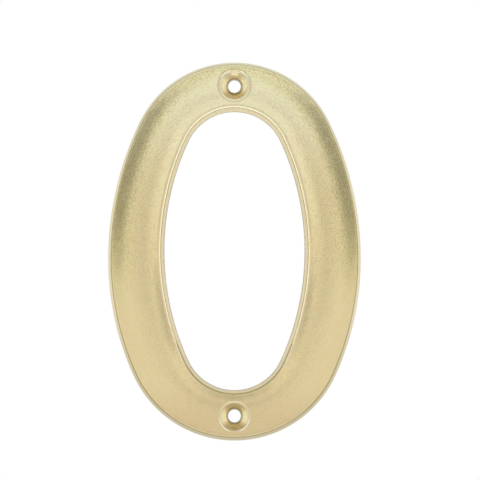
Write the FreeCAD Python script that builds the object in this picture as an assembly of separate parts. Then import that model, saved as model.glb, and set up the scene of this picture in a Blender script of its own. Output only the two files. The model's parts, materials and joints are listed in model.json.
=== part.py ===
import FreeCAD, Part
import math
import os

# A door number "0", cast in brass as one flat-backed ring that two countersunk wood screws hold.
# It stands upright as on a door: +Z is up, the crowned face looks along -Y, and the flat back
# lies on the plane y = 0. The origin is on that back, midway between the two screw holes.
# Lengths are in millimetres and angles in degrees.

# Outline of the numeral on its back: the sides are widest a little below the middle
numeral_height = 100.0
numeral_width = 66.8
widest_below_middle = 2.0
upper_side_radius = 83.1
lower_side_radius = 73.9

# Width of the ring on its back, which sets the opening inside it
band_at_ends = 13.3
band_at_sides = 14.95
opening_side_radius = 69.0

# Section of the ring: flat back, drafted walls, rounded lips and a crowned face
thickness = 4.0
crown_rise = 0.75
crown_power = 2.4
draft_angle = 16.0
lip_radius = 0.7
crown_sections = 11

# Screw holes: each is a straight bore with a rounded throat under a conical seat
screw_bore = 3.3
seat_diameter = 8.1
seat_angle = 90.0
throat_radius = 1.5
seat_rim_radius = 0.9
screw_outside_mid_band = 0.15

# How far a cutting tool reaches past the surface that it leaves through
tool_overrun = 2.0

# How closely a point has to match a height or a radius to count as on it
match = 0.01

opening_height = numeral_height - 2 * band_at_ends
opening_width = numeral_width - 2 * band_at_sides
rim_height = thickness - crown_rise
wall_inset = rim_height * math.tan(math.radians(draft_angle))
screw_height = (numeral_height + opening_height) / 4 + screw_outside_mid_band


class Oval:
    """An upright oval of arcs: two end arcs and four side arcs, which meet on its widest line."""

    def __init__(self, half_width, top, bottom, upper_side, lower_side, widest):
        self.half_width = half_width
        self.top = top
        self.bottom = bottom
        self.upper_side = upper_side
        self.lower_side = lower_side
        self.widest = widest

    def offset(self, distance):
        """The same oval grown outwards by a distance, with its arcs about the same centres."""
        return Oval(
            self.half_width + distance,
            self.top + distance,
            self.bottom - distance,
            self.upper_side + distance,
            self.lower_side + distance,
            self.widest,
        )

    def towards(self, other, share):
        """An oval part of the way from this one, at share 0, to another, at share 1."""
        start = vars(self)
        finish = vars(other)
        return Oval(**{name: start[name] + (finish[name] - start[name]) * share for name in start})

    def quarter(self, side, end):
        """Points along the end arc and then the side arc of one quarter, from tip to widest line.

        side is 1 on the right and -1 on the left; end is 1 above and -1 below the widest line.
        """
        tip = self.top if end > 0 else self.bottom
        side_radius = self.upper_side if end > 0 else self.lower_side
        reach = abs(tip - self.widest)

        # The end arc's radius follows from its tangency to the side arc
        tangency = 2 * side_radius * self.half_width - self.half_width ** 2 - reach ** 2
        end_radius = tangency / (2 * (side_radius - reach))
        end_centre = (0.0, tip - end * end_radius)
        side_centre = (side * (self.half_width - side_radius), self.widest)
        joint_angle = math.atan2(reach - end_radius, side_radius - self.half_width)

        def point(centre, radius, angle):
            x = centre[0] + side * radius * math.cos(angle)
            z = centre[1] + end * radius * math.sin(angle)
            return (x, z)

        return [
            (0.0, tip),
            point(end_centre, end_radius, (math.pi / 2 + joint_angle) / 2),
            point(end_centre, end_radius, joint_angle),
            point(side_centre, side_radius, joint_angle / 2),
            (side * self.half_width, self.widest),
        ]

    def wire(self, height):
        """The closed outline, at a height above the numeral's back."""
        upper_right = self.quarter(1, 1)
        lower_right = self.quarter(1, -1)[::-1]
        lower_left = self.quarter(-1, -1)
        upper_left = self.quarter(-1, 1)[::-1]
        edges = []
        for quarter in (upper_right, lower_right, lower_left, upper_left):
            points = [FreeCAD.Vector(x, -height, z) for x, z in quarter]
            edges.append(Part.Arc(*points[0:3]).toShape())
            edges.append(Part.Arc(*points[2:5]).toShape())
        return Part.Wire(edges)


def numeral_outline():
    return Oval(
        numeral_width / 2,
        numeral_height / 2,
        -numeral_height / 2,
        upper_side_radius,
        lower_side_radius,
        -widest_below_middle,
    )


def opening_outline():
    return Oval(
        opening_width / 2,
        opening_height / 2,
        -opening_height / 2,
        opening_side_radius,
        opening_side_radius,
        0.0,
    )


def crown_wires():
    """Ovals across the face from the outer rim to the inner rim, which rise to the ridge between."""
    outer_rim = numeral_outline().offset(-wall_inset)
    inner_rim = opening_outline().offset(wall_inset)
    wires = []
    for section in range(crown_sections):
        share = section / (crown_sections - 1)
        from_ridge = abs(2 * share - 1)
        height = rim_height + crown_rise * (1 - from_ridge ** crown_power)
        wires.append(outer_rim.towards(inner_rim, share).wire(height))
    return wires


def edges_within(solid, test):
    """The solid's edges whose every end and middle point passes a test."""
    found = []
    for edge in solid.Edges:
        middle = edge.valueAt((edge.FirstParameter + edge.LastParameter) / 2)
        points = [vertex.Point for vertex in edge.Vertexes] + [middle]
        if all(test(point) for point in points):
            found.append(edge)
    return found


def blank_ring():
    """The ring with drafted walls, a crowned face and rounded lips, before its holes are made."""
    outer_back = numeral_outline().wire(0.0)
    inner_back = opening_outline().wire(0.0)
    crown = crown_wires()

    back = Part.makeFace([outer_back, inner_back], "Part::FaceMakerBullseye")
    outer_wall = Part.makeLoft([outer_back, crown[0]], False, True)
    face = Part.makeLoft(crown, False, False)
    inner_wall = Part.makeLoft([inner_back, crown[-1]], False, True)
    shell = Part.makeShell([back] + outer_wall.Faces + face.Faces + inner_wall.Faces)
    shell.sewShape()
    ring = Part.makeSolid(shell)
    if ring.Volume < 0:
        ring.reverse()

    lips = edges_within(ring, lambda point: abs(point.y + rim_height) < match)
    return ring.makeFillet(lip_radius, lips).Solids[0]


def screw_hole_tool(hole_height):
    """The cutter for one screw hole, turned about an axis along Y at a height on the numeral."""
    bore = screw_bore / 2
    seat = seat_diameter / 2
    slope = math.radians(seat_angle / 2)

    # The throat's arc runs from the bore to the cone, tangent to both
    corner = thickness - (seat - bore) / math.tan(slope)
    tangent = throat_radius * math.tan(slope / 2)
    throat_centre = (bore + throat_radius, corner - tangent)
    throat_start = (bore, corner - tangent)
    throat_middle = (
        throat_centre[0] - throat_radius * math.cos(slope / 2),
        throat_centre[1] + throat_radius * math.sin(slope / 2),
    )
    throat_end = (bore + tangent * math.sin(slope), corner + tangent * math.cos(slope))

    def place(point):
        radius, height = point
        return FreeCAD.Vector(radius, -height, hole_height)

    behind = -tool_overrun
    before = thickness + tool_overrun
    mouth = seat + tool_overrun * math.tan(slope)
    outline = [
        Part.makeLine(place((0.0, behind)), place((bore, behind))),
        Part.makeLine(place((bore, behind)), place(throat_start)),
        Part.Arc(place(throat_start), place(throat_middle), place(throat_end)).toShape(),
        Part.makeLine(place(throat_end), place((mouth, before))),
        Part.makeLine(place((mouth, before)), place((0.0, before))),
        Part.makeLine(place((0.0, before)), place((0.0, behind))),
    ]
    half_section = Part.Face(Part.Wire(outline))
    axis_point = FreeCAD.Vector(0.0, 0.0, hole_height)
    return half_section.revolve(axis_point, FreeCAD.Vector(0.0, 1.0, 0.0), 360)


def seat_rim_rounding():
    """The radius that rounds over a seat's rim, no larger than the land beside the seat allows."""
    land = band_at_ends / 2 - wall_inset - lip_radius - screw_outside_mid_band - seat_diameter / 2
    turn = math.radians(90.0 - seat_angle / 2)
    return min(seat_rim_radius, land / math.tan(turn / 2))


def door_number():
    """The whole numeral: the blank ring with its two countersunk holes and their rounded rims."""
    hole_heights = (screw_height, -screw_height)
    ring = blank_ring()
    for hole_height in hole_heights:
        ring = ring.cut(screw_hole_tool(hole_height))

    def on_seat_rim(point):
        above_lips = -point.y > rim_height
        beside = [math.hypot(point.x, point.z - hole_height) for hole_height in hole_heights]
        return above_lips and min(beside) < seat_diameter / 2 + match

    drilled = ring.Solids[0]
    return drilled.makeFillet(seat_rim_rounding(), edges_within(drilled, on_seat_rim)).Solids[0]


def main():
    os.makedirs("parts", exist_ok=True)
    door_number().exportStep("parts/numeral_zero.step")


if __name__ == "__main__":
    main()
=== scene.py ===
import json
import math

import bmesh
import bpy
from bpy.props import FloatProperty, FloatVectorProperty, PointerProperty
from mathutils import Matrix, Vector

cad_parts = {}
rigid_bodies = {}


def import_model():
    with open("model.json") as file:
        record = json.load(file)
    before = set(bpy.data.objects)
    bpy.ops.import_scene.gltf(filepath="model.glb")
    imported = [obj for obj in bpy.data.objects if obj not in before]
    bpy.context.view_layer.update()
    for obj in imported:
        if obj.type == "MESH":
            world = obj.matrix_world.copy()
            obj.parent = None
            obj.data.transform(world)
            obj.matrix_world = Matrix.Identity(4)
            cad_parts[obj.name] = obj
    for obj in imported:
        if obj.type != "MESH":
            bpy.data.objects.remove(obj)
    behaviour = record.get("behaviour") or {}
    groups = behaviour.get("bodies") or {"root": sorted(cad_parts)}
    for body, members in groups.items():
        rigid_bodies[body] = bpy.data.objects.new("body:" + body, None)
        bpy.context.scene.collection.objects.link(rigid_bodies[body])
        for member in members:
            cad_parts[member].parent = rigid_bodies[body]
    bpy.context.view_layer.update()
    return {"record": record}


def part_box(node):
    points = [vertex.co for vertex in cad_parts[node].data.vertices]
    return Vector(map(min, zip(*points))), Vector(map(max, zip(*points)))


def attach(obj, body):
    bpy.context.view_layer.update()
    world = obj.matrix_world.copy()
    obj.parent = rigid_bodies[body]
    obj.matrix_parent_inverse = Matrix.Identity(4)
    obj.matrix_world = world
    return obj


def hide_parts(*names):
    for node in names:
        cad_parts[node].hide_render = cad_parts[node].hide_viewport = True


bl_info = {
    "name": "Brass Door Number",
    "version": (1, 0, 0),
    "blender": (4, 5, 0),
    "location": "View3D > Sidebar > Door Number",
    "description": "A cast brass door number zero with two countersunk screw holes, and its studio",
    "category": "Object",
}

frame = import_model()

CAD_NODE = "numeral_zero"
PIECE = "door_number_zero"
WHITE = (1.0, 1.0, 1.0, 1.0)
MILLIMETRE = 0.001

# How near a point has to be to count as on a place, and what counts as full weight in a group
MATCH = 0.00001
FULL = 0.99

mounts = {mount["name"]: mount for mount in frame["record"]["mounts"]}
screw_holes = mounts["screw_holes"]["dims"]
hole_spacing = screw_holes["spacing_y_mm"] * MILLIMETRE
hole_radius = screw_holes["hole_r_mm"] * MILLIMETRE
lowest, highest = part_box(CAD_NODE)


# Kinds of setting, named as those of bpy.props are

def Length(name, description, default):
    return FloatProperty(name=name, description=description, default=default, unit="LENGTH")


def Number(name, description, default):
    return FloatProperty(name=name, description=description, default=default)


def Colour(name, description, default):
    return FloatVectorProperty(
        name=name, description=description, default=default, subtype="COLOR", min=0.0, max=1.0
    )


class NumeralSizes(bpy.types.PropertyGroup):
    """The numeral's outline, section and screw holes."""

    height: Length("Height", "Height of the numeral on its back", highest.z - lowest.z)
    width: Length("Width", "Width of the numeral on its back", highest.x - lowest.x)
    thickness: Length("Thickness", "From the back to the ridge of the face", highest.y - lowest.y)
    below_middle: Length("Widest below middle", "Drop of the widest line below mid-height", 0.002)
    upper_side: Length("Upper side radius", "Radius of the sides above the widest line", 0.0831)
    lower_side: Length("Lower side radius", "Radius of the sides below the widest line", 0.0739)
    band_at_ends: Length("Band at ends", "Width of the ring at its top and bottom", 0.0133)
    band_at_sides: Length("Band at sides", "Width of the ring at its sides", 0.01495)
    opening_side: Length("Opening side radius", "Radius of the opening's sides", 0.069)
    crown_rise: Length("Crown rise", "How far the face's ridge stands above its rims", 0.00075)
    crown_power: Number("Crown power", "How late the face falls away from its ridge", 2.4)
    draft_angle: FloatProperty(
        name="Draft angle",
        description="Lean of the walls, which spread towards the back",
        default=math.radians(16.0),
        unit="ROTATION",
    )
    lip_radius: Length("Lip radius", "Rounding where the walls meet the face", 0.0007)
    back_edge: Length("Back edge", "Width of the broken edges around the back", 0.00015)
    screw_spacing: Length("Screw spacing", "Distance between the screw holes", hole_spacing)
    bore_radius: Length("Bore radius", "Radius of a screw hole's straight bore", hole_radius)
    seat_radius: Length("Seat radius", "Radius of the conical seat at the ridge", 0.00405)
    seat_rim: Length("Seat rim", "Rounding over the rim of the seat", 0.0009)
    throat: Length("Throat", "Rounding where the cone meets the bore", 0.0015)


class BrassLook(bpy.types.PropertyGroup):
    """The colour and polish of the brass, and the light and shade painted into its colour."""

    colour: Colour("Colour", "Colour of the clean brass", (0.735, 0.61, 0.342))
    # Painted light: the paler colour painted on the face towards its top, and the painted highlight
    # on the outer lip's ends
    painted_light_colour: Colour(
        "Pale colour", "Colour towards the top, and of the outer lip's ends", (0.83, 0.77, 0.515)
    )
    warm_tint: Colour("Warm tint", "What tints the warmer patches", (1.0, 0.97, 0.95))
    green_tint: Colour("Green tint", "What tints the greener patches", (0.98, 1.0, 0.965))
    # Grain and painted shade: this tint darkens the grain and pits, and also paints shade in the
    # lower seat and the shoulders
    grain_and_shade_tint: Colour("Grain tint", "What tints the darker grains and pits", (0.80, 0.78, 0.73))
    shoulder_tint: Colour("Shoulder tint", "What tints the shoulders", (0.97, 1.0, 0.93))
    # Painted shade: the tint that darkens the foot of the numeral
    foot_shade_tint: Colour("Foot tint", "What tints the foot of the numeral", (0.91, 0.87, 0.875))
    seat_colour: Colour("Seat colour", "Colour of the freshly cut seats", (0.97, 0.90, 0.66))
    # Painted shade: the tint that darkens the seats above and below their bores
    seat_shade_tint: Colour(
        "Seat tint", "What tints the seats above and below their bores", (0.70, 0.61, 0.46)
    )
    # Painted shade: the dark colour painted in the throats and bores
    bore_shade_colour: Colour("Bore colour", "Colour of the dull throats and bores", (0.42, 0.36, 0.28))
    # Painted highlights: the pale colour painted on the inner lip, the seats' rims and bright
    # specks
    painted_highlight_colour: Colour(
        "Worn colour", "Colour of rims, lips and grains that are rubbed bright", (0.94, 0.89, 0.72)
    )
    # Painted shade: the tint that darkens the walls
    wall_shade_tint: Colour(
        "Wall tint", "What tints the walls, which were not buffed", (0.71, 0.70, 0.53)
    )
    base_tint: Colour("Base tint", "What tints the inner wall towards the back", (1.0, 0.975, 0.85))
    # Painted shade: the tint of the dark lines of reflection painted beside the lips and the seats'
    # rims
    painted_dark_line_tint: Colour(
        "Polish tint", "Polish that settled beside the lips and the seats", (0.68, 0.66, 0.58)
    )
    roughness: Number("Roughness", "How much the buffing scatters a reflection", 0.25)
    grain_size: Length("Grain size", "Width of one grain of the buffed face", 0.00035)
    grain_length: Length("Grain length", "Length of one grain, along the ring", 0.0016)
    grain_height: Length("Grain height", "Height of the grain in the bump", 0.000035)
    patch_size: Length("Patch size", "Width of one warm or green patch", 0.0021)
    cloud_size: Length("Cloud size", "Width of one duller or shinier cloud", 0.007)
    speck_spacing: Length("Speck spacing", "Distance from one speck to the next", 0.0030)
    hollow_size: Length("Hollow size", "Width of one soft hollow that the buffing left", 0.004)
    hollow_depth: Length("Hollow depth", "Depth of the soft hollows", 0.00005)


class StudioSettings(bpy.types.PropertyGroup):
    """Where the camera stands and how bright the lights are."""

    camera_distance: Length("Camera distance", "From the lens to the numeral's back", 0.51)
    camera_drop: Length("Camera drop", "How far the lens lies below the origin", 0.023)
    lens: Number("Lens", "Focal length in millimetres", 144.87)
    aim_height: Length("Aim height", "Height on the numeral that the lens points at", 0.00282)
    aim_shift: Number("Sideways shift", "Share of the frame that the lens shifts sideways", 0.01155)
    room_light: Number("Room light", "Strength of the light all round", 1.0)
    floor_drop: Length("Floor drop", "How far the floor lies below the numeral", 0.07)
    floor_colour: Colour("Floor colour", "Colour of the floor", (0.92, 0.92, 0.91))
    floor_whitening: Number("Floor whitening", "How much brighter the camera sees the floor", 0.4)
    lens_card_grey: Number("Lens card", "Grey of the card above the lens", 0.2)
    near_card_grey: Number("Near cards", "Grey of the cards before and below the opening", 0.22)
    side_card_grey: Number("Side cards", "Grey of the cards at the shoulders", 0.44)
    outer_card_grey: Number("Outer cards", "Grey of the cards beside those", 0.53)
    panel_light: Number("Panels", "Strength of the panels beside the lens", 1.3)
    hoop_grey: Number("Dark hoop", "Grey of the hoop far around the numeral", 0.6)
    hoop_light: Number("Bright hoop", "Strength of the hoop before the opening", 1.4)
    hoop_radius: Length("Hoop radius", "Radius of the dark hoop", 0.5)


# Selecting and shaping, as by hand in edit mode

def select_in_edit(piece, kind, test):
    """In edit mode, selects the vertices, edges or faces that pass a test, and nothing else."""
    bpy.ops.mesh.select_mode(type="VERT")
    bpy.ops.mesh.select_all(action="DESELECT")
    bpy.ops.mesh.select_mode(type=kind)
    mesh = bmesh.from_edit_mesh(piece.data)
    elements = {"VERT": mesh.verts, "EDGE": mesh.edges, "FACE": mesh.faces}[kind]
    for element in elements:
        if test(element):
            element.select = True
    mesh.select_flush_mode()
    bmesh.update_edit_mesh(piece.data)


def weights_of(piece, group):
    """A function that gives a vertex's weight in a group of the piece, or -1, in edit mode."""
    mesh = bmesh.from_edit_mesh(piece.data)
    layer = mesh.verts.layers.deform.verify()
    index = piece.vertex_groups[group].index
    return lambda vertex: vertex[layer].get(index, -1.0)


def remember(piece, group, weight=1.0):
    """Puts the selected vertices in a vertex group, which is made if it is new."""
    if group not in piece.vertex_groups:
        piece.vertex_groups.new(name=group)
    piece.vertex_groups.active_index = piece.vertex_groups[group].index
    bpy.context.scene.tool_settings.vertex_group_weight = weight
    bpy.ops.object.vertex_group_assign()


def begin_piece(name):
    """An empty mesh object at the origin, open in edit mode."""
    work_in_object_mode()
    bpy.ops.mesh.primitive_plane_add(size=MILLIMETRE)
    piece = bpy.context.active_object
    piece.name = name
    piece.data.name = name
    bpy.ops.object.mode_set(mode="EDIT")
    bpy.ops.mesh.select_all(action="SELECT")
    bpy.ops.mesh.delete(type="VERT")
    return piece


def work_on(piece, mode):
    """Selects the piece alone and puts it in a mode."""
    work_in_object_mode()
    piece.select_set(True)
    bpy.context.view_layer.objects.active = piece
    bpy.ops.object.mode_set(mode=mode)


def work_in_object_mode():
    """Leaves edit mode with nothing selected."""
    if bpy.context.mode != "OBJECT":
        bpy.ops.object.mode_set(mode="OBJECT")
    bpy.ops.object.select_all(action="DESELECT")


def apply_modifier(piece, kind, **settings):
    """Adds a modifier of a kind to the piece, with its settings, and applies it."""
    modifier = piece.modifiers.new(kind.title(), kind)
    for name, value in settings.items():
        setattr(modifier, name, value)
    bpy.context.view_layer.objects.active = piece
    bpy.ops.object.modifier_apply(modifier=modifier.name)


# The numeral's form

# Steps along each end arc and side arc, strips across the band, and cuts of a strip in the form
END_STEPS = 40
SIDE_STEPS = 40
STRIPS = 22
FORM_CUTS = 3

# Faces from the middle of the gap for a screw hole to its edge, and rows that fill it again
SEAT_REACH = 9
SEAT_ROWS = 2

# A seat's rim is lower than it is wide, because the crown falls away above and below it
SEAT_SQUASH = 0.92
SEAT_SLOPE = math.radians(45.0)

# How far the surface turns from wall to face, and steps around each rounding
LIP_TURN = math.radians(57.0)
LIP_SEGMENTS = 8
SEAT_SEGMENTS = 6
EDGE_SEGMENTS = 2
SHARPEST_SMOOTH = math.radians(35.0)

# The bevel profile that gives an arc
ROUND = 0.5

# How near a weight has to be to that of a loop of the form, as a share of the step between loops
LOOP_MATCH = 0.1


def half_outline(sizes, across, grown):
    """The right half of an oval: its top, and its arcs clockwise as turns about centres.

    across is 0 for the numeral's outline and 1 for its opening; grown is added to every radius.
    """
    if across == 0:
        half_width = sizes.width / 2 + grown
        half_height = sizes.height / 2 + grown
        side_radii = (sizes.upper_side + grown, sizes.lower_side + grown)
        widest = -sizes.below_middle
    else:
        half_width = sizes.width / 2 - sizes.band_at_sides + grown
        half_height = sizes.height / 2 - sizes.band_at_ends + grown
        side_radii = (sizes.opening_side + grown, sizes.opening_side + grown)
        widest = 0.0

    arcs = []
    for end, side_radius in zip((1, -1), side_radii):
        # The end arc's radius follows from its tangency to the side arc
        reach = abs(end * half_height - widest)
        tangency = 2 * side_radius * half_width - half_width ** 2 - reach ** 2
        end_radius = tangency / (2 * (side_radius - reach))
        joint = math.atan2(reach - end_radius, side_radius - half_width)
        quarter = [
            (0.0, end * (half_height - end_radius), math.pi / 2 - joint, END_STEPS),
            (half_width - side_radius, widest, joint, SIDE_STEPS),
        ]
        arcs += quarter[::end]
    return half_height, arcs


def spin_chain(piece, group, start, arcs):
    """Spins a point about one centre after another, clockwise, into a chain kept in a group."""
    name, weight = group
    height = start[1]
    bpy.ops.mesh.select_mode(type="VERT")
    bpy.ops.mesh.select_all(action="DESELECT")
    bpy.ops.mesh.primitive_plane_add(size=MILLIMETRE, location=start)
    bpy.ops.mesh.merge(type="CENTER")
    for x, z, angle, steps in arcs:
        bpy.ops.mesh.spin(
            steps=steps,
            angle=angle,
            center=(x, height, z),
            axis=(0.0, -1.0, 0.0),
            use_auto_merge=False,
        )
    bpy.ops.mesh.select_linked()
    remember(piece, name, weight)


def draw_half_oval(piece, sizes, across, grown, height):
    """Draws half of the numeral's outline, or of its opening, at a height above the back."""
    top, arcs = half_outline(sizes, across, grown)
    spin_chain(piece, ("across", float(across)), (0.0, -height, top), arcs)


def draw_half_circle(piece, group, centre, radius, squash):
    """Draws half of a screw hole's circle about a centre, squashed a little from top to bottom."""
    start = (0.0, centre.y, centre.z + radius)
    spin_chain(piece, (group, 1.0), start, [(0.0, centre.z, math.pi, 4 * SEAT_REACH)])
    bpy.ops.transform.resize(value=(1.0, 1.0, squash), center_override=centre)


def bridge_between(piece, test, **settings):
    """Bridges the two open chains of edges that pass a test, without edges on the middle line."""

    def in_chain(edge):
        on_middle = all(abs(vertex.co.x) < MATCH for vertex in edge.verts)
        return (edge.is_boundary or edge.is_wire) and not on_middle and all(map(test, edge.verts))

    select_in_edit(piece, "EDGE", in_chain)
    bpy.ops.mesh.bridge_edge_loops(**settings)


def subdivide_across(piece, cuts, strips, test):
    """Cuts the band between its rims into strips, across the edges whose ends pass a test."""
    across = weights_of(piece, "across")

    def runs_across(edge):
        first, second = (across(vertex) for vertex in edge.verts)
        return abs(abs(first - second) * strips - 1.0) < 1 - FULL and all(map(test, edge.verts))

    select_in_edit(piece, "EDGE", runs_across)
    bpy.ops.mesh.subdivide(number_cuts=cuts)


def blank_half(sizes):
    """The right half of the numeral: a flat-faced band of strips between drafted walls."""
    rim_height = sizes.thickness - sizes.crown_rise
    inset = rim_height * math.tan(sizes.draft_angle)
    piece = begin_piece(PIECE)
    draw_half_oval(piece, sizes, 0, 0.0, 0.0)
    draw_half_oval(piece, sizes, 0, -inset, rim_height)
    draw_half_oval(piece, sizes, 1, inset, rim_height)
    draw_half_oval(piece, sizes, 1, 0.0, 0.0)
    across = weights_of(piece, "across")

    def on_back(vertex):
        return abs(vertex.co.y) < MATCH

    def on_rim(vertex):
        return abs(vertex.co.y + rim_height) < MATCH

    bridge_between(piece, lambda vertex: across(vertex) < 0.5)
    bridge_between(piece, lambda vertex: across(vertex) > 0.5)
    bridge_between(piece, on_rim)
    bridge_between(piece, on_back)
    subdivide_across(piece, STRIPS - 1, 1, on_rim)
    subdivide_across(piece, STRIPS - 1, 1, on_back)
    return piece


def crowned_form(piece, sizes):
    """A closely divided copy of the blank half, with its face lifted to its crown."""
    rim_height = sizes.thickness - sizes.crown_rise
    work_on(piece, "OBJECT")
    bpy.ops.object.duplicate()
    form = bpy.context.active_object
    form.name = "crowned_form"
    work_on(form, "EDIT")

    def on_face(vertex):
        return abs(vertex.co.y + rim_height) < MATCH

    subdivide_across(form, FORM_CUTS, STRIPS, on_face)
    across = weights_of(form, "across")
    loops = STRIPS * (FORM_CUTS + 1)
    for loop in range(1, loops):
        share = loop / loops
        rise = sizes.crown_rise * (1 - abs(2 * share - 1) ** sizes.crown_power)
        select_in_edit(
            form, "VERT", lambda v: abs(across(v) - share) * loops < LOOP_MATCH and on_face(v)
        )
        bpy.ops.transform.translate(value=(0.0, -rise, 0.0))
    work_on(form, "OBJECT")
    apply_modifier(form, "MIRROR", use_clip=True, merge_threshold=MATCH)
    return form


def open_seat(piece, sizes, end, height, group, radius, squash):
    """Cuts faces out at one end of the band and bridges the gap to a screw hole's circle."""
    centre = Vector((0.0, -height, end * sizes.screw_spacing / 2))
    middle = Vector((0.0, -height, end * (sizes.height - sizes.band_at_ends) / 2))

    def level(vertex):
        return abs(vertex.co.y + height) < MATCH

    def at_middle(vertex):
        return level(vertex) and (vertex.co - middle).length < MATCH

    select_in_edit(piece, "VERT", at_middle)
    for _ in range(SEAT_REACH):
        bpy.ops.mesh.select_more()
    bpy.ops.mesh.delete(type="FACE")
    draw_half_circle(piece, group, centre, radius, squash)

    def beside_hole(vertex):
        return level(vertex) and vertex.co.z * end > 0

    bridge_between(piece, beside_hole, number_cuts=SEAT_ROWS, interpolation="LINEAR")


def join_hole(piece, sizes, end):
    """Joins a seat's rim to its bore by a cone, a throat and a straight wall."""
    corner = sizes.thickness - (sizes.seat_radius - sizes.bore_radius) / math.tan(SEAT_SLOPE)
    centre = Vector((0.0, -corner, end * sizes.screw_spacing / 2))
    draw_half_circle(piece, "throat", centre, sizes.bore_radius, 1.0)

    def in_cone(vertex):
        return vertex.co.z * end > 0 and -vertex.co.y > corner - MATCH

    def in_bore(vertex):
        return vertex.co.z * end > 0 and -vertex.co.y < corner + MATCH

    bridge_between(piece, in_cone)
    bridge_between(piece, in_bore)


def round_over(piece, group, offset, segments, height=None):
    """Rounds the edges along a loop: those with both ends at full weight in a group.

    With a height, it rounds those at that height above the back, at weights 0 and 1 alike.
    """
    weight = weights_of(piece, group)

    def along_loop(edge):
        first, second = (weight(vertex) for vertex in edge.verts)
        if height is None:
            return min(first, second) > FULL
        level = all(abs(vertex.co.y + height) < MATCH for vertex in edge.verts)
        at_rim = -FULL < max(first, second) < 1 - FULL or min(first, second) > FULL
        return level and at_rim

    select_in_edit(piece, "EDGE", along_loop)
    bpy.ops.mesh.bevel(
        offset=offset, segments=segments, profile=ROUND, affect="EDGES", clamp_overlap=True
    )


def model_numeral(sizes):
    """The whole numeral, from its outline to its rounded rims and broken edges."""
    rim_height = sizes.thickness - sizes.crown_rise
    numeral = blank_half(sizes)
    form = crowned_form(numeral, sizes)

    work_on(numeral, "EDIT")
    for end in (1, -1):
        open_seat(numeral, sizes, end, rim_height, "rim", sizes.seat_radius, SEAT_SQUASH)
        open_seat(numeral, sizes, end, 0.0, "bore", sizes.bore_radius, 1.0)
    select_in_edit(numeral, "VERT", lambda vertex: abs(vertex.co.y + rim_height) < MATCH)
    remember(numeral, "face")

    # The flat face, seats and all, is pressed onto the crowned form
    work_on(numeral, "OBJECT")
    apply_modifier(
        numeral,
        "SHRINKWRAP",
        target=form,
        wrap_method="PROJECT",
        use_project_y=True,
        use_positive_direction=False,
        use_negative_direction=True,
        vertex_group="face",
    )
    bpy.data.meshes.remove(form.data)

    work_on(numeral, "EDIT")
    for end in (1, -1):
        join_hole(numeral, sizes, end)
    work_on(numeral, "OBJECT")
    apply_modifier(numeral, "MIRROR", use_clip=True, merge_threshold=MATCH)

    work_on(numeral, "EDIT")
    bpy.ops.mesh.select_all(action="SELECT")
    bpy.ops.mesh.normals_make_consistent(inside=False)

    # An edge that turns by an angle is cut back this far for an arc of the wanted radius
    lip = sizes.lip_radius * math.tan(LIP_TURN / 2)
    seat_rim = sizes.seat_rim * math.tan(SEAT_SLOPE / 2)
    throat = sizes.throat * math.tan(SEAT_SLOPE / 2)
    round_over(numeral, "across", lip, LIP_SEGMENTS, rim_height)
    round_over(numeral, "rim", seat_rim, SEAT_SEGMENTS)
    round_over(numeral, "throat", throat, SEAT_SEGMENTS)
    round_over(numeral, "across", sizes.back_edge, EDGE_SEGMENTS, 0.0)
    round_over(numeral, "bore", sizes.back_edge, EDGE_SEGMENTS)
    bpy.ops.object.mode_set(mode="OBJECT")
    bpy.ops.object.shade_smooth_by_angle(angle=SHARPEST_SMOOTH)
    return numeral


# Materials: maths on sockets, and nodes

class Value:
    """A number, colour or vector that varies over a surface, with arithmetic."""

    def __init__(self, look, socket):
        self.look = look
        self.socket = socket

    def maths(self, operation, first, second=0.0):
        return self.look.node("ShaderNodeMath", {"operation": operation}, {0: first, 1: second})

    def __add__(self, other):
        return self.maths("ADD", self, other)

    __radd__ = __add__

    def __sub__(self, other):
        return self.maths("SUBTRACT", self, other)

    def __rsub__(self, other):
        return self.maths("SUBTRACT", other, self)

    def __mul__(self, other):
        return self.maths("MULTIPLY", self, other)

    __rmul__ = __mul__

    def __truediv__(self, other):
        return self.maths("DIVIDE", self, other)

    def __pow__(self, other):
        return self.maths("POWER", self, other)

    def __abs__(self):
        return self.maths("ABSOLUTE", self)

    def smooth(self, low, high):
        """0 below low, 1 above high and an easy slope between; low may be the larger of the two."""
        return self.look.node(
            "ShaderNodeMapRange",
            {"interpolation_type": "SMOOTHSTEP"},
            {"Value": self, "From Min": low, "From Max": high},
        )


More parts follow.
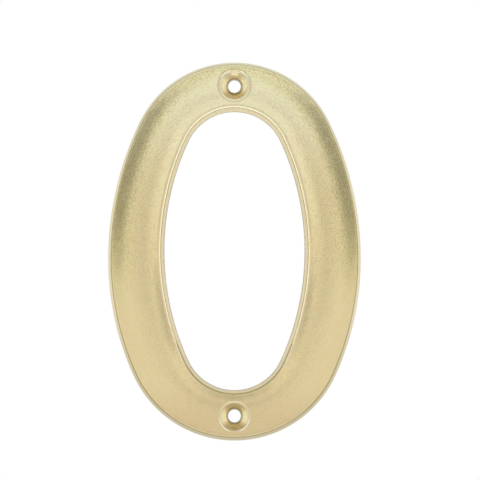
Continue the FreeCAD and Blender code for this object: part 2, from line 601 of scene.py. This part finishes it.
class Look:
    """A material or a world, and the one way in which its nodes are made."""

    def __init__(self, owner):
        self.owner = owner
        owner.use_nodes = True
        self.tree = owner.node_tree
        self.tree.nodes.clear()

    def node(self, kind, settings, sockets, output=0):
        """Adds a node with its settings and its sockets' values or links, and gives an output."""
        made = self.tree.nodes.new(kind)
        for name, value in settings.items():
            setattr(made, name, value)
        for key, value in sockets.items():
            if isinstance(value, Value):
                self.tree.links.new(value.socket, made.inputs[key])
            else:
                made.inputs[key].default_value = value
        return Value(self, made.outputs[output]) if made.outputs else None

    def finish(self, surface, output="ShaderNodeOutputMaterial"):
        self.node(output, {}, {"Surface": surface})
        return self.owner

    def mix(self, colour, share, other, how="MIX"):
        """A colour with another mixed into it, by a share."""
        return self.node(
            "ShaderNodeMix",
            {"data_type": "RGBA", "blend_type": how},
            {0: share, 6: colour, 7: (*other, 1.0)},
            output=2,
        )

    def tint(self, colour, share, other):
        """A colour multiplied by another, by a share."""
        return self.mix(colour, share, other, "MULTIPLY")

    def split(self, place):
        """The coordinates of a place, or the channels of a colour."""
        parts = self.node("ShaderNodeSeparateXYZ", {}, {"Vector": place})
        return [Value(self, socket) for socket in parts.socket.node.outputs]

    def cells(self, place, scale):
        """How far the nearest of many scattered points is, in cells, and its random number."""
        distance = self.node("ShaderNodeTexVoronoi", {}, {"Vector": place, "Scale": scale})
        number = self.split(Value(self, distance.socket.node.outputs["Color"]))[0]
        return distance, number

    def bump_between(self, value, low, high):
        """1 in the middle between two limits, and an easy slope down to 0 at both."""
        middle = (low + high) / 2
        return value.smooth(low, middle) * value.smooth(high, middle)

    def noise(self, place, scale, detail, roughness):
        """Soft noise from 0 to 1, with so many waves to the metre."""
        return self.node(
            "ShaderNodeTexNoise",
            {},
            {"Vector": place, "Scale": scale, "Detail": detail, "Roughness": roughness},
        )


# Where the brass changes: in each pair, a change starts at the first limit and is full at the
# second, unless it says that the change is full midway and gone at both limits

# Up the numeral, as a share of its height, from -0.5 at its foot to 0.5 at its top
PALE_TOP_UP = (0.10, 0.45)
PALE_SIDES_UP = (0.0, 0.16)
UPPER_HALF_UP = (-0.16, 0.0)
FOOT_UP = (-0.34, -0.46)
UPPER_HOLE_UP = (-0.01, 0.01)
LIP_DARK_LINE_UP = (-0.02, 0.08)
PAINTED_LIP_HIGHLIGHT_UP = (-0.38, -0.25)
WALL_BELOW_OPENING_UP = (-0.26, -0.32)
WALL_SHADE_ENDS_AWAY = (0.12, 0.35)
SHOULDERS_UP = (0.02, 0.14)
LIP_AT_TOP_UP = (0.34, 0.47)
LIP_AT_FOOT_UP = (-0.38, -0.48)

# Out from the middle of the numeral, as a share of the way to the middle of the band
INNER_HALF_OUT = (1.0, 0.99)
OUTER_HALF_OUT = (1.0, 1.1)
PALE_SIDES_OUT = (0.93, 0.84)
LESS_PALE_OUT = (1.03, 1.12)
SHOULDERS_OUT = (1.04, 1.09)
OUTER_LIP_OUT = (1.105, 1.12)

# Forward from the back, in metres
CLEAR_OF_BACK = (0.0001, 0.0005)

# Forward from the rims where the walls meet the face, in metres
FACE_RISE = (-0.0001, 0.0001)
LESS_WALL_SHADE_RISE = (-0.00065, -0.00025)
WALL_BASE_RISE = (-0.00045, -0.00185)
OUTER_LIP_STARTS = (-0.00055, -0.00025)
OUTER_LIP_ENDS = (0.00017, 0.00007)

# The same, but full midway
PAINTED_LIP_HIGHLIGHT_RISE = (-0.000048, 0.000172)
LIP_DARK_LINE_RISE = (0.000092, 0.000292)
BESIDE_OUTER_LIP = (0.00011, 0.00033)

# Out from the rim of a screw hole's seat, and from the wall of its bore, in metres
SEAT_INSIDE_RIM = (0.0001, -0.0005)
SEAT_TIP_INSIDE_RIM = (-0.0017, -0.0006)
SHADE_ABOUT_BORE = (0.0004, 0.0001)

# The same, but full midway
HIGHLIGHT_ABOUT_RIM = (-0.0003, 0.0002)
DARK_LINE_BESIDE_RIM = (0.0001, 0.0006)

# Around a screw hole, from -1 straight down to 1 straight up
BELOW_BORE = (-0.35, -0.9)
ABOVE_BORE = (0.35, 0.9)

# Around a screw hole, from -1 towards the opening to 1 towards the nearest end of the numeral
SEAT_TIP = (0.4, 0.85)
RIM_HIGHLIGHT_STARTS = (-0.1, 0.4)
RIM_HIGHLIGHT_ENDS = (1.0, 0.85)

# In the noise of the patches and grains, which stays near 0.5
WARM_PATCHES = (0.52, 0.66)
GREEN_PATCHES = (0.48, 0.36)
LONG_GRAINS = (0.50, 0.72)
FINE_GRAINS = (0.52, 0.72)
SHOULDER_GRAIN_AND_SHADES = (0.50, 0.62)
SHOULDER_PAINTED_GLINTS = (0.42, 0.30)

# Pits and painted bright specks: how far they reach in a cell, and which cells' numbers have one
SPECK_REACH = (0.07, 0.03)
CELLS_WITH_PIT = (0.62, 0.64)
CELLS_WITH_PAINTED_GLINT = (0.30, 0.28)

# How much of each change of colour shows, as a share
LESS_PALE = 0.45
PALE_SIDES = 0.27
# Shares of painted shade in the seats
DARKER_ABOVE_BORE = 0.3
DARKER_SEAT_TIP = 0.25
DARKER_LOWER_SEAT = 0.8
PAINTED_LIP_HIGHLIGHT = 0.8
LIP_DARK_LINE = 0.6
LESS_WALL_SHADE = 0.27
INNER_WALL_SHADE = 0.2
MORE_SHADE_BELOW_OPENING = 0.4
SHOULDER_GRAIN_AND_SHADE = 0.65
SHOULDER_PAINTED_GLINT = 0.6
LIP_AT_FOOT = 0.5
PALE_OUTER_LIP = 0.75
OUTER_LIP_DARK_LINE = 0.45
SPECKS = 0.5

# The grain's share in the colour and in the bump: below, and what the upper and outer halves add
GRAIN_COLOUR = (0.12, 0.36, 0.16)
GRAIN_BUMP = (0.5, 0.3, 0.05)

# Heights of the long and fine grains and of the pits, as shares of the grain height
LONG_GRAIN_RISE = 0.6
FINE_GRAIN_RISE = 0.8
PIT_DEPTH = 1.5

# What the grain and the clouds, the walls and the seats change in the roughness
UNEVEN_ROUGHNESS = 0.1
SMOOTHER_WALLS = 0.07
ROUGHER_SEATS = 0.04


class BrassPlaces:
    """Where a point of the numeral lies, and the patterns there, for its finish to vary with."""

    def __init__(self, look, settings, sizes):
        place = look.node("ShaderNodeTexCoord", {}, {}, output=3)
        x, depth, z = look.split(place)
        rise = depth * -1
        self.up = z / sizes.height
        self.above_rims = rise - (sizes.thickness - sizes.crown_rise)
        self.on_face = self.above_rims.smooth(*FACE_RISE)
        self.before_back = rise.smooth(*CLEAR_OF_BACK)
        # Painted light: the face is painted paler towards the top
        self.pale_top = self.up.smooth(*PALE_TOP_UP)
        self.upper_half = self.up.smooth(*UPPER_HALF_UP)

        # A direction from the middle of the ring, and how far out: 1 is the middle of the band
        half_width = (sizes.width - sizes.band_at_sides) / 2
        half_height = (sizes.height - sizes.band_at_ends) / 2
        sideways = x / half_width
        upwards = z / half_height
        self.out = (sideways * sideways + upwards * upwards) ** 0.5
        self.inner_half = self.out.smooth(*INNER_HALF_OUT)
        self.outer_half = self.out.smooth(*OUTER_HALF_OUT)

        # The nearest screw hole: how far its seat's rim and its bore are, and on which side it is
        past_hole = abs(z) - sizes.screw_spacing / 2
        from_hole = (x * x + past_hole * past_hole) ** 0.5
        self.towards_end = past_hole / from_hole
        self.towards_top = self.towards_end * (self.up.smooth(*UPPER_HOLE_UP) * 2 - 1)
        self.from_rim = from_hole - sizes.seat_radius
        self.in_seat = self.from_rim.smooth(*SEAT_INSIDE_RIM) * self.before_back
        self.in_bore = (from_hole - sizes.bore_radius).smooth(*SHADE_ABOUT_BORE)

        # Grain that runs along the ring, and patterns that run no particular way
        turns = half_height / settings.grain_length
        rows = half_width / settings.grain_size
        along_ring = look.node(
            "ShaderNodeCombineXYZ",
            {},
            {0: sideways / self.out * turns, 1: self.out * rows, 2: upwards / self.out * turns},
        )
        self.grain = look.noise(along_ring, 1.0, detail=2.0, roughness=0.6)
        self.fine = look.noise(place, 1 / settings.grain_size, detail=2.0, roughness=0.6)
        self.patches = look.noise(place, 1 / settings.patch_size, detail=2.0, roughness=0.5)
        self.clouds = look.noise(place, 1 / settings.cloud_size, detail=3.0, roughness=0.55)
        self.hollows = look.noise(place, 1 / settings.hollow_size, detail=1.0, roughness=0.5)
        self.grainy = self.share_of_grain(*GRAIN_COLOUR)
        from_speck, number = look.cells(place, 1 / settings.speck_spacing)
        in_speck = from_speck.smooth(*SPECK_REACH)
        self.pit = in_speck * number.smooth(*CELLS_WITH_PIT)
        # Painted highlights: bright specks in some cells
        self.painted_glint = in_speck * number.smooth(*CELLS_WITH_PAINTED_GLINT) * self.grainy

    def share_of_grain(self, below, above, outside):
        """A share for the lower half, with more above the middle and more again outside there."""
        return below + self.upper_half * (above + self.outer_half * outside)


def colour_face(look, at, settings):
    """The buffed face, in warm and green patches: paler towards the top, which is painted light,
    and darker at its foot, which is painted shade.
    """
    # Painted light: paler towards the top and at the upper inner sides, less so out on the band and
    # on the walls
    pale_sides = at.out.smooth(*PALE_SIDES_OUT) * at.up.smooth(*PALE_SIDES_UP) * at.on_face
    less_pale = at.out.smooth(*LESS_PALE_OUT) + at.inner_half * (1 - at.on_face)
    pale_top = at.pale_top * (1 - less_pale * LESS_PALE)
    pale = pale_top + pale_sides * (1 - at.pale_top) * PALE_SIDES
    colour = look.mix((*settings.colour, 1.0), pale, settings.painted_light_colour)
    colour = look.tint(colour, at.patches.smooth(*WARM_PATCHES), settings.warm_tint)
    colour = look.tint(colour, at.patches.smooth(*GREEN_PATCHES), settings.green_tint)
    colour = look.tint(colour, at.outer_half * at.upper_half, settings.shoulder_tint)
    colour = look.tint(colour, at.grain.smooth(*LONG_GRAINS) * at.grainy, settings.grain_and_shade_tint)
    colour = look.tint(colour, at.fine.smooth(*FINE_GRAINS) * at.grainy, settings.grain_and_shade_tint)
    # Painted shade: darker towards the foot
    return look.tint(colour, at.up.smooth(*FOOT_UP), settings.foot_shade_tint)


def colour_seats(look, colour, at, settings):
    """The seats in a paler colour, darker in painted shade above and below their bores, the throats
    and bores darker in painted shade, and bright rims that are painted highlights, with a painted
    dark ring of reflection beside them.
    """
    below_bore = at.towards_top.smooth(*BELOW_BORE)
    above_bore = at.towards_top.smooth(*ABOVE_BORE) * DARKER_ABOVE_BORE
    seat_tip = at.towards_end.smooth(*SEAT_TIP) * at.from_rim.smooth(*SEAT_TIP_INSIDE_RIM)
    colour = look.mix(colour, at.in_seat, settings.seat_colour)
    # Painted shade: the seats darker above and below their bores
    colour = look.tint(colour, at.in_seat * (below_bore + above_bore), settings.seat_shade_tint)
    upper_tip = at.in_seat * seat_tip * at.pale_top
    lower_seat = at.in_seat * below_bore * (1 - at.pale_top)
    # Painted shade: more at the tip of the upper seat, and below the bore of the lower seat
    colour = look.tint(colour, upper_tip * DARKER_SEAT_TIP, settings.seat_shade_tint)
    colour = look.tint(colour, lower_seat * DARKER_LOWER_SEAT, settings.grain_and_shade_tint)
    # Painted shade: the throat and bore darker
    colour = look.mix(colour, at.in_bore, settings.bore_shade_colour)

    # Painted highlight: a bright crescent on each seat's rim, on the side towards the nearest end
    beside_end = at.towards_end.smooth(*RIM_HIGHLIGHT_STARTS) * at.towards_end.smooth(*RIM_HIGHLIGHT_ENDS)
    rim_highlight = look.bump_between(at.from_rim, *HIGHLIGHT_ABOUT_RIM) * beside_end * at.before_back
    colour = look.mix(colour, rim_highlight, settings.painted_highlight_colour)
    # Painted dark reflection: a dark ring just outside each seat's rim, in the upper part
    dark_ring = look.bump_between(at.from_rim, *DARK_LINE_BESIDE_RIM) * at.pale_top * at.before_back
    return look.tint(colour, dark_ring, settings.painted_dark_line_tint)


def colour_inner_lip(look, colour, at, settings):
    """The inner lip: a painted highlight on it, and a painted dark line of reflection beside it in
    the upper half.
    """
    # Painted highlight: the lip's highlight painted paler, except at the foot of the opening
    on_lip = look.bump_between(at.above_rims, *PAINTED_LIP_HIGHLIGHT_RISE) * at.inner_half
    beside_lip = look.bump_between(at.above_rims, *LIP_DARK_LINE_RISE) * at.inner_half
    painted = on_lip * at.up.smooth(*PAINTED_LIP_HIGHLIGHT_UP)
    dark_line = beside_lip * at.up.smooth(*LIP_DARK_LINE_UP)
    colour = look.mix(colour, painted * PAINTED_LIP_HIGHLIGHT, settings.painted_highlight_colour)
    # Painted dark reflection: a dark line on the face beside the lip
    return look.tint(colour, dark_line * LIP_DARK_LINE, settings.painted_dark_line_tint)


def colour_walls(look, colour, at, settings):
    """The walls, darkened with painted shade: most on the outside at the ends of the numeral and on
    the inner wall below the opening, least near the face, and the inner wall tinted towards the
    back.
    """
    wall = (1 - at.on_face) * (1 - at.in_seat) * at.before_back
    less_shade = at.above_rims.smooth(*LESS_WALL_SHADE_RISE) * LESS_WALL_SHADE
    base = at.inner_half * at.above_rims.smooth(*WALL_BASE_RISE) * at.before_back
    below_opening = at.up.smooth(*WALL_BELOW_OPENING_UP) * MORE_SHADE_BELOW_OPENING
    inner_shade = at.inner_half * (INNER_WALL_SHADE + below_opening)
    outer_shade = (1 - at.inner_half) * abs(at.up).smooth(*WALL_SHADE_ENDS_AWAY)
    colour = look.tint(colour, base, settings.base_tint)
    # Painted shade on the walls, less of it near the face
    return look.tint(colour, wall * (1 - less_shade) * (inner_shade + outer_shade), settings.wall_shade_tint)


def colour_shoulders(look, colour, at, settings):
    """The shoulders, on the outer side of the upper half, which are the grainiest part: darker
    grain, partly grain and partly painted shade, and bright specks that are painted highlights.
    """
    shoulder = at.up.smooth(*SHOULDERS_UP) * at.out.smooth(*SHOULDERS_OUT) * at.on_face
    grains = at.fine.smooth(*SHOULDER_GRAIN_AND_SHADES) * shoulder
    painted_glints = at.fine.smooth(*SHOULDER_PAINTED_GLINTS) * shoulder
    # Painted shade and painted highlights: dark grain and bright specks in the shoulders
    colour = look.tint(colour, grains * SHOULDER_GRAIN_AND_SHADE, settings.grain_and_shade_tint)
    return look.mix(colour, painted_glints * SHOULDER_PAINTED_GLINT, settings.painted_highlight_colour)


def colour_outer_lip(look, colour, at, settings):
    """The outer lip at both ends of the numeral: a pale painted highlight, with a painted dark line
    of reflection beside it.
    """
    at_ends = at.up.smooth(*LIP_AT_TOP_UP) + at.up.smooth(*LIP_AT_FOOT_UP) * LIP_AT_FOOT
    at_ends = at_ends * at.out.smooth(*OUTER_LIP_OUT)
    lip = at.above_rims.smooth(*OUTER_LIP_STARTS) * at.above_rims.smooth(*OUTER_LIP_ENDS)
    beside = look.bump_between(at.above_rims, *BESIDE_OUTER_LIP)
    # Painted highlight on the outer lip, and a painted dark line beside it
    colour = look.mix(colour, lip * at_ends * PALE_OUTER_LIP, settings.painted_light_colour)
    return look.tint(colour, beside * at_ends * OUTER_LIP_DARK_LINE, settings.painted_dark_line_tint)


def colour_specks(look, colour, at, settings):
    """Scattered dark pits, and bright specks that are painted highlights."""
    colour = look.tint(colour, at.pit * SPECKS, settings.grain_and_shade_tint)
    return look.mix(colour, at.painted_glint * SPECKS, settings.painted_highlight_colour)


def brass_roughness(at, settings):
    """The walls are a little smoother than the face, and the face is uneven."""
    uneven = (at.grain + at.clouds - 1) * UNEVEN_ROUGHNESS
    face = at.on_face * uneven - (1 - at.on_face) * SMOOTHER_WALLS
    return settings.roughness + face + at.in_seat * ROUGHER_SEATS


def brass_relief(look, at, settings):
    """The bumps of the grain and pits, which fade out over the lips, and the soft hollows."""
    grain = at.grain * LONG_GRAIN_RISE + at.fine * FINE_GRAIN_RISE - at.pit * PIT_DEPTH
    grain = grain * at.on_face * at.share_of_grain(*GRAIN_BUMP)
    hollows = at.hollows * (settings.hollow_depth / settings.grain_height)
    return look.node(
        "ShaderNodeBump",
        {},
        {"Strength": 1.0, "Distance": settings.grain_height, "Height": grain + hollows},
    )


def cast_brass(settings, sizes):
    """Pale buffed brass: grain along the ring, warm and green patches and pits, with painted light
    and shade: a paler top, darker foot, walls and bores, and painted highlights and dark lines
    along the lips and seats.
    """
    look = Look(bpy.data.materials.new("cast_brass"))
    at = BrassPlaces(look, settings, sizes)
    colour = colour_face(look, at, settings)
    for layer in (
        colour_seats,
        colour_inner_lip,
        colour_walls,
        colour_shoulders,
        colour_outer_lip,
        colour_specks,
    ):
        colour = layer(look, colour, at, settings)
    brass = look.node(
        "ShaderNodeBsdfPrincipled",
        {},
        {
            "Base Color": colour,
            "Metallic": 1.0,
            "Roughness": brass_roughness(at, settings),
            "Normal": brass_relief(look, at, settings),
        },
    )
    return look.finish(brass)


# Where the floor starts to whiten and is white, in metres from the numeral
FLOOR_FADES = (0.25, 0.75)


def even_light(name, strength):
    """An even white light, or a grey where it is weaker than the room, for a card or a hoop."""
    look = Look(bpy.data.materials.new(name))
    return look.finish(look.node("ShaderNodeEmission", {}, {"Color": WHITE, "Strength": strength}))


def pale_floor(settings):
    """A pale floor that keeps a shadow, and that the camera sees whiter, the more so far away."""
    look = Look(bpy.data.materials.new("pale_floor"))
    place = look.node("ShaderNodeTexCoord", {}, {}, output=3)
    distance = look.node("ShaderNodeVectorMath", {"operation": "LENGTH"}, {0: place}, output=1)
    far = distance.smooth(*FLOOR_FADES)
    seen = look.node("ShaderNodeLightPath", {}, {})
    floor = look.node("ShaderNodeBsdfDiffuse", {}, {"Color": (*settings.floor_colour, 1.0)})
    white = look.node("ShaderNodeEmission", {}, {"Color": WHITE, "Strength": 1.0})
    share = seen * (settings.floor_whitening + far * (1 - settings.floor_whitening))
    return look.finish(look.node("ShaderNodeMixShader", {}, {0: share, 1: floor, 2: white}))


# The studio

FLOOR_SIZE = 6.0
HOOP_SIDES = 96
SENSOR_WIDTH = 36.0

# The planes that the upright cards stand in
BEHIND_LENS = -0.53
BEFORE_SHOULDERS = -0.095
BEFORE_OPENING = -0.056

# How far the cards before the shoulders lean, in degrees
SIDE_CARD_LEAN = -17.0

# The card that lies flat below the bright hoop
FOOT_CARD_PLACE = (0.0, -0.0075, -0.0207)
FOOT_CARD_SIZE = (0.011, 0.007)


def finish_stage_piece(piece, name, material):
    """Names a floor, card or hoop, applies its transform and gives it its material."""
    piece.name = name
    bpy.ops.object.transform_apply(location=True, rotation=True, scale=True)
    piece.data.materials.append(material)
    return piece


def only_reflected(piece):
    """Leaves a card or hoop in reflections alone, so it neither shows nor throws a shadow."""
    piece.visible_camera = False
    piece.visible_diffuse = False
    piece.visible_shadow = False


def add_plane(name, place, size, material, turn=(0.0, 0.0, 0.0)):
    """A flat card or floor of a width and a depth."""
    work_in_object_mode()
    bpy.ops.mesh.primitive_plane_add(size=1.0, location=place, rotation=turn)
    plane = bpy.context.active_object
    plane.scale = (*size, 1.0)
    return finish_stage_piece(plane, name, material)


def add_card(name, material, place, size, lean=0.0):
    """An upright card of a width and a height, in reflections alone, leaning by some degrees."""
    turn = (math.pi / 2, math.radians(lean), 0.0)
    only_reflected(add_plane(name, place, size, material, turn))


def add_card_pair(name, material, place, size, lean=0.0):
    """An upright card on the right, and the same card mirrored to the left."""
    out, forward, up = place
    for side, word in ((1, "right"), (-1, "left")):
        add_card(name.format(word), material, (side * out, forward, up), size, side * lean)


def add_hoop(name, material, half_size, middle, gap, seen_between):
    """A hoop around the line of sight, seen by a lip that is a gap away between two angles."""
    half_width, half_height = half_size
    near, far = (math.radians(angle) for angle in seen_between)
    front = -gap / math.tan(near)
    behind = -gap / math.tan(far)
    work_in_object_mode()
    bpy.ops.mesh.primitive_cylinder_add(
        vertices=HOOP_SIDES,
        radius=1.0,
        depth=behind - front,
        end_fill_type="NOTHING",
        location=(0.0, (front + behind) / 2, middle),
        rotation=(math.pi / 2, 0.0, 0.0),
    )
    hoop = bpy.context.active_object
    hoop.scale = (half_width, half_height, 1.0)
    only_reflected(finish_stage_piece(hoop, name, material))


def light_room(settings):
    """Even light all round, which the camera sees as plain white."""
    look = Look(bpy.data.worlds.new("white_room"))
    seen = look.node("ShaderNodeLightPath", {}, {})
    lit = look.node("ShaderNodeBackground", {}, {"Color": WHITE, "Strength": settings.room_light})
    white = look.node("ShaderNodeBackground", {}, {"Color": WHITE, "Strength": 1.0})
    either = look.node("ShaderNodeMixShader", {}, {0: seen, 1: lit, 2: white})
    bpy.context.scene.world = look.finish(either, "ShaderNodeOutputWorld")


def build_floor(settings):
    """The floor, which the brass doesn't reflect."""
    floor_height = lowest.z - settings.floor_drop
    size = (FLOOR_SIZE, FLOOR_SIZE)
    floor = add_plane("floor", (0.0, 0.0, floor_height), size, pale_floor(settings))
    floor.visible_glossy = False


def build_cards(settings):
    """The grey cards and bright panels that the brass alone reflects."""
    lens_grey = even_light("lens_grey", settings.lens_card_grey)
    near_grey = even_light("near_grey", settings.near_card_grey)
    side_grey = even_light("side_grey", settings.side_card_grey)
    outer_grey = even_light("outer_grey", settings.outer_card_grey)
    panel_light = even_light("panel_light", settings.panel_light)

    # Above the lens, and before the opening
    add_card("lens_card", lens_grey, place=(0.0, BEHIND_LENS, 0.034), size=(0.10, 0.040))
    add_card("near_card", near_grey, place=(0.0, BEFORE_OPENING, -0.01025), size=(0.007, 0.0185))

    # Before the shoulders, leaning, and beyond them
    add_card_pair(
        "{}_card",
        side_grey,
        place=(0.0675, BEFORE_SHOULDERS, 0.0438),
        size=(0.0484, 0.084),
        lean=SIDE_CARD_LEAN,
    )
    add_card_pair(
        "outer_{}_card", outer_grey, place=(0.127, BEFORE_SHOULDERS, 0.052), size=(0.078, 0.068)
    )

    # Beside the lens
    add_card_pair("{}_panel", panel_light, place=(0.155, BEHIND_LENS, 0.07), size=(0.11, 0.13))

    # Lying flat, it keeps the bright hoop out of the lip at the foot of the opening
    foot_card = add_plane("foot_card", FOOT_CARD_PLACE, FOOT_CARD_SIZE, near_grey)
    only_reflected(foot_card)


def build_hoops(settings):
    """A dark hoop far around the numeral, and a bright one before its opening."""
    dark = even_light("hoop_grey", settings.hoop_grey)
    bright = even_light("hoop_light", settings.hoop_light)
    far_away = settings.hoop_radius
    add_hoop(
        "dark_hoop",
        dark,
        half_size=(far_away, far_away),
        middle=0.0,
        gap=far_away,
        seen_between=(75.0, 125.0),
    )
    add_hoop(
        "bright_hoop",
        bright,
        half_size=(0.0105, 0.0245),
        middle=0.0045,
        gap=0.008,
        seen_between=(38.0, 60.0),
    )


def build_camera(settings):
    """The camera, square on to the numeral and a little below its middle."""
    place = Vector((0.0, -settings.camera_distance, -settings.camera_drop))
    aim = Vector((0.0, 0.0, settings.aim_height))
    bpy.ops.object.camera_add(location=place)
    camera = bpy.context.active_object
    camera.name = "camera"
    camera.rotation_mode = "QUATERNION"
    camera.rotation_quaternion = (aim - place).to_track_quat("-Z", "Y")
    camera.data.lens = settings.lens
    camera.data.sensor_width = SENSOR_WIDTH
    camera.data.shift_x = settings.aim_shift
    bpy.context.scene.camera = camera


class DOORNUMBER_OT_numeral(bpy.types.Operator):
    """Model the door number zero and give it its brass"""

    bl_idname = "door_number.numeral"
    bl_label = "Door number zero"

    def execute(self, context):
        sizes = context.scene.numeral_sizes
        numeral = model_numeral(sizes)
        numeral.data.materials.clear()
        numeral.data.materials.append(cast_brass(context.scene.brass_look, sizes))
        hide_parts(CAD_NODE)
        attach(numeral, "root")
        return {"FINISHED"}


class DOORNUMBER_OT_stage(bpy.types.Operator):
    """Build the floor, lights and camera"""

    bl_idname = "door_number.stage"
    bl_label = "Stage"

    def execute(self, context):
        settings = context.scene.studio_settings
        light_room(settings)
        build_floor(settings)
        build_cards(settings)
        build_hoops(settings)
        build_camera(settings)
        return {"FINISHED"}


class DOORNUMBER_PT_panel(bpy.types.Panel):
    """The door number's operators and sizes in the 3D view's sidebar"""

    bl_idname = "DOORNUMBER_PT_panel"
    bl_label = "Door Number"
    bl_space_type = "VIEW_3D"
    bl_region_type = "UI"
    bl_category = "Door Number"

    def draw(self, context):
        for operator in OPERATORS:
            self.layout.operator(operator.bl_idname)
        for name in SETTINGS:
            group = getattr(context.scene, name)
            box = self.layout.box()
            for field in group.bl_rna.properties:
                if not field.is_readonly and field.identifier != "name":
                    box.prop(group, field.identifier)


OPERATORS = (DOORNUMBER_OT_numeral, DOORNUMBER_OT_stage)
SETTINGS = {
    "numeral_sizes": NumeralSizes,
    "brass_look": BrassLook,
    "studio_settings": StudioSettings,
}


def register():
    for name, group in SETTINGS.items():
        bpy.utils.register_class(group)
        setattr(bpy.types.Scene, name, PointerProperty(type=group))
    for owner in (*OPERATORS, DOORNUMBER_PT_panel):
        bpy.utils.register_class(owner)


def unregister():
    for owner in (DOORNUMBER_PT_panel, *reversed(OPERATORS)):
        bpy.utils.unregister_class(owner)
    for name, group in reversed(SETTINGS.items()):
        delattr(bpy.types.Scene, name)
        bpy.utils.unregister_class(group)


def main():
    register()
    bpy.ops.door_number.numeral()
    bpy.ops.door_number.stage()
    bpy.context.scene.view_settings.view_transform = "Standard"


if __name__ == "__main__":
    main()
